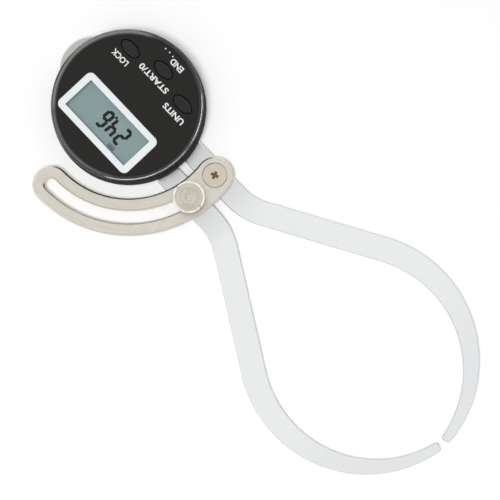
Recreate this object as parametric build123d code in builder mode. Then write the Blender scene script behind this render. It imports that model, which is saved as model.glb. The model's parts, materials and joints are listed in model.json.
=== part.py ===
"""Digital outside caliper gauge: two bowed legs, a slotted arc plate with a lock knob, and a round display head.

Millimetres. The gauge lies on its back: +Z points out of the display, the legs point along -Y, X = Y = 0 is the
pivot axis of the legs, and Z = 0 is the flat back of the legs.
"""

import os
from math import acos, cos, degrees, radians, sin

from build123d import *

os.makedirs("parts", exist_ok=True)

# Legs: straps behind the head, a knee, a straight splayed outwards and a large bow back to the tip
leg_thickness = 3.0
strap_inner_x = 1.6
strap_outer_x = 11.2
strap_width = strap_outer_x - strap_inner_x
splay = 30.0
knee_radius = 20.0
outer_bow_centre = (-4.2, -128.9)
outer_bow_radius = 48.7
inner_bow_centre = (-7.1, -131.4)
inner_bow_radius = 43.0
fixed_tip_x = -0.3
moving_tip_x = 0.55
tip_slant = 1.05
tip_round = 1.3
leg_round = 0.75
rounded_from_y = -200.0
rounded_to_y = -20.0
back_chamfer = 0.25
rest_opening = 0.5

# Hubs of the legs, behind the head
hub_radius = 7.9
hub_gap = 0.4
flange_radius = 20.0
flange_top = 6.5
fixed_strap_top = -8.0
moving_strap_top = -24.0
hub_shoulder_angle = -9
leg_screw_places = [(6.4, -17.0), (14.0, -9.0), (14.0, 2.0)]
leg_screw_radius = 1.05
leg_screw_hole_radius = 1.3
leg_screw_sink_radius = 2.4
leg_screw_length = 6.3
small_cross_length = 2.2
small_cross_width = 0.55
small_cross_depth = 0.7
leg_screw_depth = 3.4
pivot_sink_radius = 3.5
pivot_sink_depth = 1.6
pivot_sink_taper = 42
fastener_gap = 0.1
flush_gap = 0.05
cut_margin = 1.0

# Arc plate and its fasteners
plate_gap = 0.15
plate_thickness = 1.8
plate_width = 14.4
slot_radius = 42.1
slot_width = 4.8
screw_angle = -81.6
stud_angle = -99.5
slot_near_angle = -97.0
slot_far_angle = -179.1
plate_chamfer = 0.6
screw_head_radius = 4.65
screw_head_height = 0.9
screw_head_round = 0.2
screw_head_gap = 0.25
screw_seat_depth = 0.85
screw_bottom = 0.3
cross_turn = 20
cross_length = 3.1
cross_width = 1.15
cross_depth = 0.75
thread_radius = 2.0
stud_radius = 2.3
dowel_radius = 0.75
dowel_radial = 36.6
dowel_bottom = 0.6
dowel_length = 3.1
dowel_cover = 1.05
spacer_radius = 3.6

# Lock knob
knob_radius = 6.1
knob_height = 4.8
knob_washer_radius = 4.6
knob_washer_thickness = 0.5
knob_rim_width = 0.65
knob_rim_drop = 0.3
knob_bottom_chamfer = 0.2
knob_cap = 0.7
knob_play = 0.02
knurl_count = 46
knurl_radius = 0.34
knurl_offset = 0.06
knurl_cap = 0.4
ring_depth = 0.12
ring_width = 0.3
ring_radii = [4.75, 2.95, 1.2]
notch_angle = -83
notch_depth = 0.9
notch_width = 0.7
notch_height = 1.2

# Head
head_radius = 29.8
shell_bottom = 7.2
skirt_inner_radius = 28.5
skirt_bottom = 4.0
skirt_chamfer = 0.5
wall_foot = 5.6
wall_bulge = 0.12
shell_inner_radius = 27.15
front_wall_bottom = 11.8
face_recess = 13.4
face_level = 14.0
crest_level = 14.4
crest_outer_radius = 29.05
crest_inner_radius = 28.35
crest_round = 0.65
shoulder_top = 13.7
face_radius = 27.0
gasket_thickness = 0.2
gasket_inset = 0.3
housing_radius = 28.4
housing_inner_radius = 25.7
housing_bottom = leg_thickness + plate_gap
housing_floor = 4.95
housing_top = shell_bottom - gasket_thickness
spigot_radius = 26.95
spigot_top = 7.95
housing_round = 0.5
bush_collar = 1.4
leg_pad_radius = 3.8
leg_boss_radius = 2.8
leg_boss_height = 1.8
housing_screw_ring = 24.7
housing_screw_angles = [22, 150, -150, -66]
screw_head_sink_radius = 2.0
screw_head_sink = 1.3
boss_radius = 2.1
housing_screw_radius = 0.9
housing_screw_hole_radius = 1.1
housing_screw_length = 7.0
board_screw_places = [(21.8, -7.9), (5.0, 21.5), (4.5, -21.5)]
board_boss_radius = 1.8
board_screw_radius = 0.7
board_screw_head_radius = 1.4
board_screw_head_height = 0.7
board_screw_length = 2.8

# Display: its long side lies along Y
display_centre = (-10.15, 0.0)
frame_length = 38.2
frame_width = 18.4
frame_corner = 2.3
frame_rise = 0.35
frame_chamfer = 0.15
glass_length = 32.6
glass_width = 13.4
frame_body_length = 36.0
frame_body_width = 16.6
window_length = 34.1
window_width = 14.9
window_thickness = 0.8
panel_length = 35.8
panel_width = 16.4
panel_bottom = 11.0
panel_top = 12.8

# Buttons: ovals with the long axis along Y
button_places = [(15.6, 14.8), (19.2, 0.1), (15.5, -14.5)]
button_length = 8.5
button_width = 4.5
button_gap = 0.35
button_rise = 0.3
button_flange_growth = 1.6
button_flange_bottom = 10.9
button_stem_bottom = 10.42
button_stem_radius = 1.3
button_edge_round = 0.6
button_flange_gap = 0.05

# Circuit board and switches
board_bottom = 8.6
board_top = 9.4
board_radius = 26.4
switch_side = 4.8
switch_height = 0.9
switch_well_radius = 1.6
switch_well_floor = 9.82
strip_zone_width = 1.8
chip_place = (8.5, 4.0)
chip_radius = 3.2
chip_height = 1.2

# Battery, its lobe and its cover
battery_centre = (0.0, 20.6)
battery_radius = 10.0
battery_height = 3.2
battery_bottom = 3.1
battery_top_chamfer = 0.5
battery_bottom_chamfer = 0.3
lobe_radius = 12.7
lobe_flat_y = 8.6
lobe_bottom = 2.0
compartment_radius = 10.2
compartment_wall = 1.5
compartment_ceiling = 6.5
cover_radius = 10.8
cover_top = 3.05
cover_seat_radius = 10.9
cover_lug_radius = 11.5
cover_groove_radius = 11.65
cover_groove_bottom = 2.5
cover_groove_reach = 20.6
cover_notch_width = 5.4
cover_lug_width = 4.6
cover_lug_height = 0.5
cover_release_angle = 60.0
coin_slot_length = 14.0
coin_slot_width = 1.8
coin_slot_depth = 0.6
seal_recess = 0.3
seal_thickness = 0.36
lip_radius = 29.65
lip_width = 0.55
lip_height = 0.4
lip_chamfer = 0.25
leaf_thickness = 0.2
leaf_width = 3.6
leaf_length = 9.0
tab_y = 23.8
tab_window_length = 5.0
tab_window_width = 1.4
strip_x = battery_radius + 0.03
strip_thickness = 0.25
strip_width = 2.6
strip_room = 0.6
strip_lift = 0.3

# Pivot and encoder
shaft_radius = 4.0
shaft_step = 6.9
shaft_top = 8.15
rotor_seat_radius = 2.5
key_radius = 3.0
key_width = 4.8
key_bottom = 1.7
bush_radius = 6.0
bush_flange_radius = 7.2
bush_flange_top = 3.65
bush_top = 5.6
running_gap = 0.03
clip_bottom = 5.97
clip_thickness = 0.5
clip_groove_radius = 3.4
clip_opening = 5.6
clip_radius = 6.4
wave_washer_radius = 6.2
clip_play = 0.02
rotor_radius = 19.5
rotor_bottom = 7.5
rotor_top = 8.2
rotor_hub_radius = 6.0
rotor_screw_head_radius = 3.1
rotor_screw_head_height = 1.0
rotor_screw_radius = 0.8
rotor_screw_length = 1.7
pivot_screw_radius = 1.25
pivot_screw_length = 4.6
screw_neck = 1.0
spanner_hole_offset = 2.0
spanner_hole_radius = 0.5
spanner_hole_depth = 0.8


def at(z):
    """The horizontal plane at height z."""
    return Plane.XY.offset(z)


def on_circle(centre, radius, angle):
    """The point of a circle at an angle in degrees."""
    return (centre[0] + radius * cos(radians(angle)), centre[1] + radius * sin(radians(angle)))


def knee(x, bow_centre, bow_radius):
    """Where the strap's edge at x meets the straight that runs into the bow."""
    reach = bow_centre[0] * cos(radians(splay)) + bow_centre[1] * sin(radians(splay)) + bow_radius
    return (x, (reach - x * cos(radians(splay))) / sin(radians(splay)))


def bow(centre, radius, end_x):
    """Arc of a bow from the end of the straight to x = end_x at the tip."""
    end = -degrees(acos((end_x - centre[0]) / radius))
    return ThreePointArc(
        on_circle(centre, radius, splay),
        on_circle(centre, radius, (splay + end) / 2),
        on_circle(centre, radius, end),
    )


def leg_outline(top, tip_x):
    """Outline of a right-hand leg whose strap starts at y = top and whose tip reaches x = tip_x."""
    outer_bow = bow(outer_bow_centre, outer_bow_radius, tip_x + tip_slant)
    inner_bow = bow(inner_bow_centre, inner_bow_radius, tip_x)
    Line(outer_bow @ 1, inner_bow @ 1)
    outer_knee = knee(strap_outer_x, outer_bow_centre, outer_bow_radius)
    inner_knee = knee(strap_inner_x, inner_bow_centre, inner_bow_radius)
    FilletPolyline((strap_outer_x, top), outer_knee, outer_bow @ 0, radius=knee_radius)
    FilletPolyline((strap_inner_x, top), inner_knee, inner_bow @ 0, radius=knee_radius + strap_width)
    Line((strap_outer_x, top), (strap_inner_x, top))


screw_place = on_circle((0, 0), slot_radius, screw_angle)
stud_place = on_circle((0, 0), slot_radius, stud_angle)
dowel_place = on_circle((0, 0), dowel_radial, screw_angle)
housing_screw_places = [on_circle((0, 0), housing_screw_ring, angle) for angle in housing_screw_angles]
plate_bottom = leg_thickness + plate_gap
plate_top = plate_bottom + plate_thickness
screw_seat = plate_top - screw_seat_depth

# Fixed leg: the strap runs into a flange that clears the other leg's hub
with BuildPart() as fixed_leg:
    with BuildSketch():
        Circle(flange_radius)
        Circle(hub_radius + hub_gap, mode=Mode.SUBTRACT)
        with Locations((strap_inner_x - flange_radius, 0)):
            Rectangle(2 * flange_radius, 2 * flange_radius + cut_margin, mode=Mode.SUBTRACT)
        with Locations((0, flange_top + flange_radius)):
            Rectangle(2 * flange_radius + cut_margin, 2 * flange_radius, mode=Mode.SUBTRACT)
        with BuildLine():
            leg_outline(fixed_strap_top - hub_gap, fixed_tip_x)
        make_face()
        fillet(vertices().sort_by(Axis.Y)[:2], tip_round)
    extrude(amount=leg_thickness)
    fixed_top = fixed_leg.faces().sort_by(Axis.Z)[-1]
    fillet(fixed_top.edges().filter_by_position(Axis.Y, rounded_from_y, rounded_to_y), leg_round)
    chamfer(fixed_leg.faces().sort_by(Axis.Z)[0].edges(), back_chamfer)
    with Locations(at(0).rotated((180, 0, 0))):
        with Locations([(x, -y) for x, y in leg_screw_places]):
            CounterSinkHole(leg_screw_hole_radius, leg_screw_sink_radius, depth=leg_thickness, counter_sink_angle=90)
    with BuildSketch(at(0)):
        with Locations(screw_place):
            Circle(thread_radius)
    extrude(amount=leg_thickness, mode=Mode.SUBTRACT)
    with BuildSketch(at(dowel_bottom - fastener_gap)):
        with Locations(dowel_place):
            Circle(dowel_radius)
    extrude(amount=leg_thickness, mode=Mode.SUBTRACT)
fixed_leg.part.label = "fixed_leg"
export_step(fixed_leg.part, "parts/fixed_leg.step")

# Moving leg: the mirror of the other one, seen through a plane that faces down and is turned open a little
moving_plane = Plane(
    origin=(0, 0, leg_thickness),
    x_dir=(-cos(radians(rest_opening)), sin(radians(rest_opening)), 0),
    z_dir=(0, 0, -1),
)
with BuildPart() as moving_leg:
    with BuildSketch(moving_plane):
        with BuildLine():
            leg_outline(moving_strap_top, moving_tip_x)
        make_face()
        fillet(vertices().sort_by(Axis.Y)[:2], tip_round)
        with BuildLine():
            Polyline(
                (strap_inner_x, moving_strap_top - cut_margin),
                (strap_outer_x, moving_strap_top - cut_margin),
                (strap_outer_x, moving_strap_top),
                on_circle((0, 0), hub_radius, hub_shoulder_angle),
                (strap_inner_x, 0),
                close=True,
            )
        make_face()
        Circle(hub_radius)
    extrude(amount=leg_thickness)
    moving_top = moving_leg.faces().sort_by(Axis.Z)[-1]
    fillet(moving_top.edges().filter_by_position(Axis.Y, rounded_from_y, rounded_to_y), leg_round)
    chamfer(moving_leg.faces().sort_by(Axis.Z)[0].edges(), back_chamfer)
    with BuildSketch(at(0)):
        Circle(pivot_sink_radius)
    extrude(amount=pivot_sink_depth, taper=pivot_sink_taper, mode=Mode.SUBTRACT)
    with BuildSketch(at(pivot_sink_depth)):
        Circle(key_radius)
        Rectangle(key_width, 2 * key_radius, mode=Mode.INTERSECT)
    extrude(amount=leg_thickness, mode=Mode.SUBTRACT)
    with BuildSketch(at(0)):
        with Locations(stud_place):
            Circle(stud_radius)
    extrude(amount=leg_thickness, mode=Mode.SUBTRACT)
moving_leg.part.label = "moving_leg"
export_step(moving_leg.part, "parts/moving_leg.step")

# Arc plate: a band about the pivot with a slot for the stud and a round eye at the screw
with BuildPart() as arc_plate:
    with BuildSketch(at(plate_bottom)):
        plate_arc = CenterArc((0, 0), slot_radius, screw_angle, slot_far_angle - screw_angle, mode=Mode.PRIVATE)
        slot_arc = CenterArc(
            (0, 0), slot_radius, slot_near_angle, slot_far_angle - slot_near_angle, mode=Mode.PRIVATE
        )
        SlotArc(plate_arc, plate_width)
        SlotArc(slot_arc, slot_width, mode=Mode.SUBTRACT)
        with Locations(screw_place):
            Circle(thread_radius + fastener_gap, mode=Mode.SUBTRACT)
    extrude(amount=plate_thickness)
    chamfer(arc_plate.faces().sort_by(Axis.Z)[-1].edges(), plate_chamfer)
    with BuildSketch(at(plate_bottom)):
        with Locations(dowel_place):
            Circle(dowel_radius)
    extrude(amount=plate_thickness - dowel_cover, mode=Mode.SUBTRACT)
    with BuildSketch(at(screw_seat)):
        with Locations(screw_place):
            Circle(screw_head_radius + screw_head_gap)
    extrude(amount=screw_seat_depth, mode=Mode.SUBTRACT)
arc_plate.part.label = "arc_plate"
export_step(arc_plate.part, "parts/arc_plate.step")

with BuildPart() as plate_spacer:
    with BuildSketch(at(leg_thickness)):
        with Locations(screw_place):
            Circle(spacer_radius)
            Circle(thread_radius + fastener_gap, mode=Mode.SUBTRACT)
    extrude(amount=plate_gap)
plate_spacer.part.label = "plate_spacer"
export_step(plate_spacer.part, "parts/plate_spacer.step")

# Screw of the plate: a wide flat head in a counterbore, with a cross recess
with BuildPart() as plate_screw:
    with BuildSketch(at(screw_seat)):
        with Locations(screw_place):
            Circle(screw_head_radius)
    extrude(amount=screw_head_height)
    fillet(plate_screw.edges().sort_by(Axis.Z)[-1], screw_head_round)
    with BuildSketch(at(screw_seat + screw_head_height)):
        with Locations(Location((*screw_place, 0), (0, 0, cross_turn))):
            Rectangle(cross_length, cross_width)
            Rectangle(cross_width, cross_length)
    extrude(amount=-cross_depth, mode=Mode.SUBTRACT)
    with BuildSketch(at(screw_bottom)):
        with Locations(screw_place):
            Circle(thread_radius)
    extrude(amount=screw_seat - screw_bottom)
plate_screw.part.label = "plate_screw"
export_step(plate_screw.part, "parts/plate_screw.step")

with BuildPart() as plate_dowel:
    with BuildSketch(at(dowel_bottom)):
        with Locations(dowel_place):
            Circle(dowel_radius)
    extrude(amount=dowel_length)
plate_dowel.part.label = "plate_dowel"
export_step(plate_dowel.part, "parts/plate_dowel.step")

# Stud, washer and knurled knob of the lock
knob_washer_bottom = plate_top + knob_play
knob_bottom = knob_washer_bottom + knob_washer_thickness + knob_play
knob_top = knob_bottom + knob_height
stud_shoulder = plate_top - fastener_gap
stud_top = knob_top - knob_cap - fastener_gap

with BuildPart() as lock_stud:
    with BuildSketch(at(flush_gap)):
        with Locations(stud_place):
            Circle(stud_radius)
    extrude(amount=stud_shoulder - flush_gap)
    with BuildSketch(at(stud_shoulder)):
        with Locations(stud_place):
            Circle(thread_radius)
    extrude(amount=stud_top - stud_shoulder)
lock_stud.part.label = "lock_stud"
export_step(lock_stud.part, "parts/lock_stud.step")

with BuildPart() as knob_washer:
    with BuildSketch(at(knob_washer_bottom)):
        with Locations(stud_place):
            Circle(knob_washer_radius)
            Circle(thread_radius + fastener_gap, mode=Mode.SUBTRACT)
    extrude(amount=knob_washer_thickness)
knob_washer.part.label = "knob_washer"
export_step(knob_washer.part, "parts/knob_washer.step")

with BuildPart() as lock_knob:
    with BuildSketch(at(knob_bottom)):
        with Locations(stud_place):
            Circle(knob_radius)
    extrude(amount=knob_height)
    knob_face = lock_knob.faces().sort_by(Axis.Z)[-1]
    chamfer(knob_face.edges(), knob_rim_width, knob_rim_drop, reference=knob_face)
    chamfer(lock_knob.edges().group_by(Axis.Z)[0], knob_bottom_chamfer)
    with BuildSketch(at(knob_bottom)):
        with Locations(stud_place):
            with PolarLocations(knob_radius + knurl_offset, knurl_count):
                Circle(knurl_radius)
    extrude(amount=knob_height - knurl_cap, mode=Mode.SUBTRACT)
    with BuildSketch(at(knob_bottom)):
        with Locations(stud_place):
            Circle(thread_radius + flush_gap)
    extrude(amount=knob_height - knob_cap, mode=Mode.SUBTRACT)
    with BuildSketch(at(knob_top)):
        with Locations(stud_place):
            for ring_radius in ring_radii:
                Circle(ring_radius + ring_width)
                Circle(ring_radius, mode=Mode.SUBTRACT)
    extrude(amount=-ring_depth, mode=Mode.SUBTRACT)
    with BuildSketch(at(knob_top)):
        with Locations(Location((*stud_place, 0), (0, 0, notch_angle))):
            with GridLocations(2 * knob_radius, 0, 2, 1):
                Rectangle(2 * notch_depth, notch_width)
    extrude(amount=-notch_height, mode=Mode.SUBTRACT)
lock_knob.part.label = "lock_knob"
export_step(lock_knob.part, "parts/lock_knob.step")

# Rear housing: a shallow dish with the battery lobe
with BuildPart() as rear_housing:
    with BuildSketch(at(housing_bottom)):
        Circle(housing_radius)
        with Locations(battery_centre):
            Circle(lobe_radius)
    extrude(amount=housing_top - housing_bottom)
    fillet(rear_housing.faces().sort_by(Axis.Z)[-1].edges(), housing_round)
    with BuildSketch(at(lobe_bottom)):
        with Locations(battery_centre):
            Circle(lobe_radius)
        with Locations((0, lobe_flat_y + 2 * lobe_radius)):
            Rectangle(4 * lobe_radius, 4 * lobe_radius, mode=Mode.INTERSECT)
    extrude(amount=housing_bottom - lobe_bottom)
    with BuildSketch(at(housing_top)):
        Circle(lip_radius + lip_width)
        Circle(lip_radius, mode=Mode.SUBTRACT)
        with Locations(battery_centre):
            Circle(lobe_radius - 2 * housing_round, mode=Mode.INTERSECT)
    extrude(amount=lip_height)
    chamfer(rear_housing.faces().sort_by(Axis.Z)[-1].edges().sort_by(SortBy.LENGTH)[-1], lip_chamfer)
    with BuildSketch(at(housing_floor)):
        Circle(housing_inner_radius)
    extrude(amount=housing_top - housing_floor, mode=Mode.SUBTRACT)
    with BuildSketch(at(housing_floor)):
        with Locations(battery_centre):
            Circle(compartment_radius + compartment_wall)
        Circle(spigot_radius, mode=Mode.INTERSECT)
    extrude(amount=housing_top - housing_floor)
    with BuildSketch(at(housing_top)):
        Circle(spigot_radius)
        Circle(housing_inner_radius, mode=Mode.SUBTRACT)
    extrude(amount=spigot_top - housing_top)
    with BuildSketch(at(housing_floor)):
        with Locations(housing_screw_places):
            Circle(boss_radius)
    extrude(amount=spigot_top - housing_floor)
    with BuildSketch(at(housing_floor)):
        Circle(bush_flange_radius + bush_collar)
    extrude(amount=bush_top - housing_floor)
    with BuildSketch(at(leg_thickness)):
        with Locations(leg_screw_places):
            Circle(leg_pad_radius)
    extrude(amount=plate_gap)
    with BuildSketch(at(housing_floor)):
        with Locations(leg_screw_places):
            Circle(leg_boss_radius)
    extrude(amount=leg_boss_height)
    # battery compartment, cover seat with its grooves, and windows for the contacts
    with BuildSketch(at(lobe_bottom)):
        with Locations(battery_centre):
            Circle(compartment_radius)
    extrude(amount=compartment_ceiling - lobe_bottom, mode=Mode.SUBTRACT)
    with BuildSketch(at(lobe_bottom)):
        with Locations(battery_centre):
            Circle(cover_seat_radius)
    extrude(amount=housing_bottom - lobe_bottom, mode=Mode.SUBTRACT)
    with BuildSketch(at(cover_groove_bottom)):
        with Locations(battery_centre):
            Circle(cover_groove_radius)
            Rectangle(4 * lobe_radius, cover_groove_reach, mode=Mode.INTERSECT)
    extrude(amount=housing_bottom - cover_groove_bottom, mode=Mode.SUBTRACT)
    with BuildSketch(at(lobe_bottom)):
        with Locations(Location((*battery_centre, 0), (0, 0, cover_release_angle))):
            Rectangle(2 * cover_groove_radius, cover_notch_width)
        with Locations(battery_centre):
            Circle(cover_groove_radius, mode=Mode.INTERSECT)
    extrude(amount=housing_bottom - lobe_bottom, mode=Mode.SUBTRACT)
    with BuildSketch(at(compartment_ceiling)):
        with Locations((0, tab_y)):
            Rectangle(tab_window_length, tab_window_width)
    extrude(amount=housing_top - compartment_ceiling, mode=Mode.SUBTRACT)
    with BuildSketch(at(housing_bottom)):
        with Locations((strip_x + strip_thickness / 2, battery_centre[1] + strip_width / 2)):
            Rectangle(strip_thickness + strip_room, strip_width + strip_room)
    extrude(amount=housing_top - housing_bottom, mode=Mode.SUBTRACT)
    # bores for the bush and the screws
    with BuildSketch(at(housing_bottom)):
        Circle(bush_radius)
    extrude(amount=bush_top, mode=Mode.SUBTRACT)
    with BuildSketch(at(housing_bottom)):
        Circle(bush_flange_radius)
    extrude(amount=bush_flange_top - housing_bottom, mode=Mode.SUBTRACT)
    with BuildSketch(at(leg_thickness)):
        with Locations(leg_screw_places):
            Circle(leg_screw_radius)
    extrude(amount=leg_screw_depth, mode=Mode.SUBTRACT)
    with BuildSketch(at(housing_bottom)):
        with Locations(housing_screw_places):
            Circle(housing_screw_hole_radius)
    extrude(amount=spigot_top, mode=Mode.SUBTRACT)
    with BuildSketch(at(housing_bottom)):
        with Locations(housing_screw_places):
            Circle(screw_head_sink_radius)
    extrude(amount=screw_head_sink, mode=Mode.SUBTRACT)
rear_housing.part.label = "rear_housing"
export_step(rear_housing.part, "parts/rear_housing.step")

with BuildPart() as housing_gasket:
    with BuildSketch(at(housing_top)):
        Circle(housing_radius - gasket_inset)
        Circle(shell_inner_radius + flush_gap, mode=Mode.SUBTRACT)
    extrude(amount=gasket_thickness)
housing_gasket.part.label = "housing_gasket"
export_step(housing_gasket.part, "parts/housing_gasket.step")

# Front shell: a turned cup that leans in to a narrow crest, with a skirt round the rear housing and a recess for
# the face plate
frame_place = Location((*display_centre, 0))
with BuildPart() as front_shell:
    with BuildSketch(Plane.XZ):
        with BuildLine():
            wall = ThreePointArc(
                (head_radius, wall_foot),
                ((head_radius + crest_outer_radius) / 2 + wall_bulge, (wall_foot + shoulder_top) / 2),
                (crest_outer_radius, shoulder_top),
            )
            crest = RadiusArc(wall @ 1, (crest_inner_radius, crest_level), -crest_round)
            Polyline(
                crest @ 1,
                (face_radius + flush_gap, face_level),
                (face_radius + flush_gap, face_recess),
                (0, face_recess),
                (0, front_wall_bottom),
                (shell_inner_radius, front_wall_bottom),
                (shell_inner_radius, shell_bottom),
                (skirt_inner_radius, shell_bottom),
                (skirt_inner_radius, skirt_bottom),
                (head_radius - skirt_chamfer, skirt_bottom),
                (head_radius, skirt_bottom + skirt_chamfer),
                wall @ 0,
            )
        make_face()
    revolve(axis=Axis.Z)
    with BuildSketch(at(skirt_bottom)):
        with Locations(battery_centre):
            Circle(lobe_radius + fastener_gap)
    extrude(amount=shell_bottom - skirt_bottom, mode=Mode.SUBTRACT)
    with BuildSketch(at(spigot_top + flush_gap)):
        with Locations(housing_screw_places):
            Circle(boss_radius)
    extrude(amount=front_wall_bottom - spigot_top)
    with BuildSketch(at(board_top)):
        with Locations(board_screw_places):
            Circle(board_boss_radius)
    extrude(amount=front_wall_bottom - board_top + fastener_gap)
    with BuildSketch(at(front_wall_bottom)):
        with Locations(frame_place):
            Rectangle(frame_body_width + 2 * fastener_gap, frame_body_length + 2 * fastener_gap)
        with Locations(button_places):
            Ellipse(button_width / 2 + button_gap, button_length / 2 + button_gap)
    extrude(amount=face_level - front_wall_bottom, mode=Mode.SUBTRACT)
    with BuildSketch(at(shell_bottom)):
        with Locations(housing_screw_places):
            Circle(housing_screw_radius)
    extrude(amount=front_wall_bottom - shell_bottom, mode=Mode.SUBTRACT)
    with BuildSketch(at(board_bottom)):
        with Locations(board_screw_places):
            Circle(board_screw_radius)
    extrude(amount=front_wall_bottom - board_bottom, mode=Mode.SUBTRACT)
front_shell.part.label = "front_shell"
export_step(front_shell.part, "parts/front_shell.step")

with BuildPart() as face_plate:
    with BuildSketch(at(face_recess)):
        Circle(face_radius)
        with Locations(frame_place):
            Rectangle(frame_body_width + fastener_gap, frame_body_length + fastener_gap, mode=Mode.SUBTRACT)
        with Locations(button_places):
            Ellipse(button_width / 2 + button_gap, button_length / 2 + button_gap, mode=Mode.SUBTRACT)
    extrude(amount=face_level - face_recess)
face_plate.part.label = "face_plate"
export_step(face_plate.part, "parts/face_plate.step")

# Display: a raised frame with a thin flange, its window, and the panel pressed up from the board
with BuildPart() as display_frame:
    with BuildSketch(at(face_level)):
        with Locations(frame_place):
            RectangleRounded(frame_width, frame_length, frame_corner)
    extrude(amount=frame_rise)
    chamfer(display_frame.faces().sort_by(Axis.Z)[-1].edges(), frame_chamfer)
    with BuildSketch(at(panel_top)):
        with Locations(frame_place):
            Rectangle(frame_body_width, frame_body_length)
    extrude(amount=face_level - panel_top)
    with BuildSketch(at(panel_top)):
        with Locations(frame_place):
            Rectangle(window_width, window_length)
    extrude(amount=face_level - panel_top, mode=Mode.SUBTRACT)
    with BuildSketch(at(panel_top)):
        with Locations(frame_place):
            Rectangle(glass_width, glass_length)
    extrude(amount=face_level + frame_rise - panel_top, mode=Mode.SUBTRACT)
display_frame.part.label = "display_frame"
export_step(display_frame.part, "parts/display_frame.step")

with BuildPart() as display_window:
    with BuildSketch(at(face_level - window_thickness)):
        with Locations(frame_place):
            Rectangle(window_width, window_length)
    extrude(amount=window_thickness)
display_window.part.label = "display_window"
export_step(display_window.part, "parts/display_window.step")

with BuildPart() as lcd_panel:
    with BuildSketch(at(panel_bottom)):
        with Locations(frame_place):
            Rectangle(panel_width, panel_length)
    extrude(amount=panel_top - panel_bottom)
lcd_panel.part.label = "lcd_panel"
export_step(lcd_panel.part, "parts/lcd_panel.step")

with BuildPart() as contact_strips:
    with BuildSketch(at(board_top)):
        with Locations(frame_place):
            with GridLocations(panel_width - strip_zone_width, 0, 2, 1):
                Rectangle(strip_zone_width, panel_length - 2 * cut_margin)
    extrude(amount=panel_bottom - board_top)
contact_strips.part.label = "contact_strips"
export_step(contact_strips.part, "parts/contact_strips.step")

# Circuit board with its chip and switches
with BuildPart() as circuit_board:
    with BuildSketch(at(board_bottom)):
        Circle(board_radius)
        Circle(rotor_screw_head_radius + cut_margin, mode=Mode.SUBTRACT)
        with Locations(housing_screw_places):
            Circle(boss_radius + gasket_inset, mode=Mode.SUBTRACT)
        with Locations(board_screw_places):
            Circle(board_screw_radius + fastener_gap, mode=Mode.SUBTRACT)
    extrude(amount=board_top - board_bottom)
circuit_board.part.label = "circuit_board"
export_step(circuit_board.part, "parts/circuit_board.step")

with BuildPart() as chip_cap:
    with BuildSketch(at(board_top)):
        with Locations(chip_place):
            Circle(chip_radius)
    extrude(amount=chip_height)
    fillet(chip_cap.edges().sort_by(Axis.Z)[-1], 0.8 * chip_height)
chip_cap.part.label = "chip_cap"
export_step(chip_cap.part, "parts/chip_cap.step")

with BuildPart() as key_switches:
    with BuildSketch(at(board_top)):
        with Locations(button_places):
            Rectangle(switch_side, switch_side)
    extrude(amount=switch_height)
    with BuildSketch(at(switch_well_floor)):
        with Locations(button_places):
            Circle(switch_well_radius)
    extrude(amount=switch_height, mode=Mode.SUBTRACT)
key_switches.part.label = "key_switches"
export_step(key_switches.part, "parts/key_switches.step")

with BuildPart() as board_screws:
    with BuildSketch(at(board_bottom - board_screw_head_height)):
        with Locations(board_screw_places):
            Circle(board_screw_head_radius)
    extrude(amount=board_screw_head_height)
    with BuildSketch(at(board_bottom)):
        with Locations(board_screw_places):
            Circle(board_screw_radius)
    extrude(amount=board_screw_length)
board_screws.part.label = "board_screws"
export_step(board_screws.part, "parts/board_screws.step")


def button(place):
    """One oval button: cap, retaining flange and stem."""
    with BuildPart() as piece:
        with BuildSketch(at(button_flange_bottom)):
            with Locations(place):
                Ellipse(
                    (button_width + button_flange_growth) / 2,
                    (button_length + button_flange_growth) / 2,
                )
        extrude(amount=front_wall_bottom - button_flange_gap - button_flange_bottom)
        with BuildSketch(at(button_flange_bottom)):
            with Locations(place):
                Ellipse(button_width / 2, button_length / 2)
        extrude(amount=face_level + button_rise - button_flange_bottom)
        fillet(piece.edges().sort_by(Axis.Z)[-1], button_edge_round)
        with BuildSketch(at(button_stem_bottom)):
            with Locations(place):
                Circle(button_stem_radius)
        extrude(amount=button_flange_bottom - button_stem_bottom)
    return piece


hold_button = button(button_places[0])
hold_button.part.label = "hold_button"
export_step(hold_button.part, "parts/hold_button.step")

zero_button = button(button_places[1])
zero_button.part.label = "zero_button"
export_step(zero_button.part, "parts/zero_button.step")

unit_button = button(button_places[2])
unit_button.part.label = "unit_button"
export_step(unit_button.part, "parts/unit_button.step")

# Battery, its two contacts and its cover
with BuildPart() as battery:
    with BuildSketch(at(battery_bottom)):
        with Locations(battery_centre):
            Circle(battery_radius)
    extrude(amount=battery_height)
    chamfer(battery.edges().sort_by(Axis.Z)[-1], battery_top_chamfer)
    chamfer(battery.edges().sort_by(Axis.Z)[0], battery_bottom_chamfer)
battery.part.label = "battery"
export_step(battery.part, "parts/battery.step")

battery_top = battery_bottom + battery_height
with BuildPart() as battery_minus_contact:
    with BuildSketch(at(battery_top)):
        with Locations((0, tab_y)):
            Rectangle(leaf_width, leaf_length, align=(Align.CENTER, Align.MAX))
    extrude(amount=leaf_thickness)
    with BuildSketch(at(battery_top)):
        with Locations((0, tab_y)):
            Rectangle(leaf_width, leaf_thickness, align=(Align.CENTER, Align.MAX))
    extrude(amount=board_bottom - battery_top)
battery_minus_contact.part.label = "battery_minus_contact"
export_step(battery_minus_contact.part, "parts/battery_minus_contact.step")

with BuildPart() as battery_plus_contact:
    with BuildSketch(at(battery_bottom + strip_lift)):
        with Locations((strip_x, battery_centre[1])):
            Rectangle(strip_thickness, strip_width, align=(Align.MIN, Align.MIN))
    extrude(amount=board_bottom - battery_bottom - strip_lift)
battery_plus_contact.part.label = "battery_plus_contact"
export_step(battery_plus_contact.part, "parts/battery_plus_contact.step")

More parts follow.
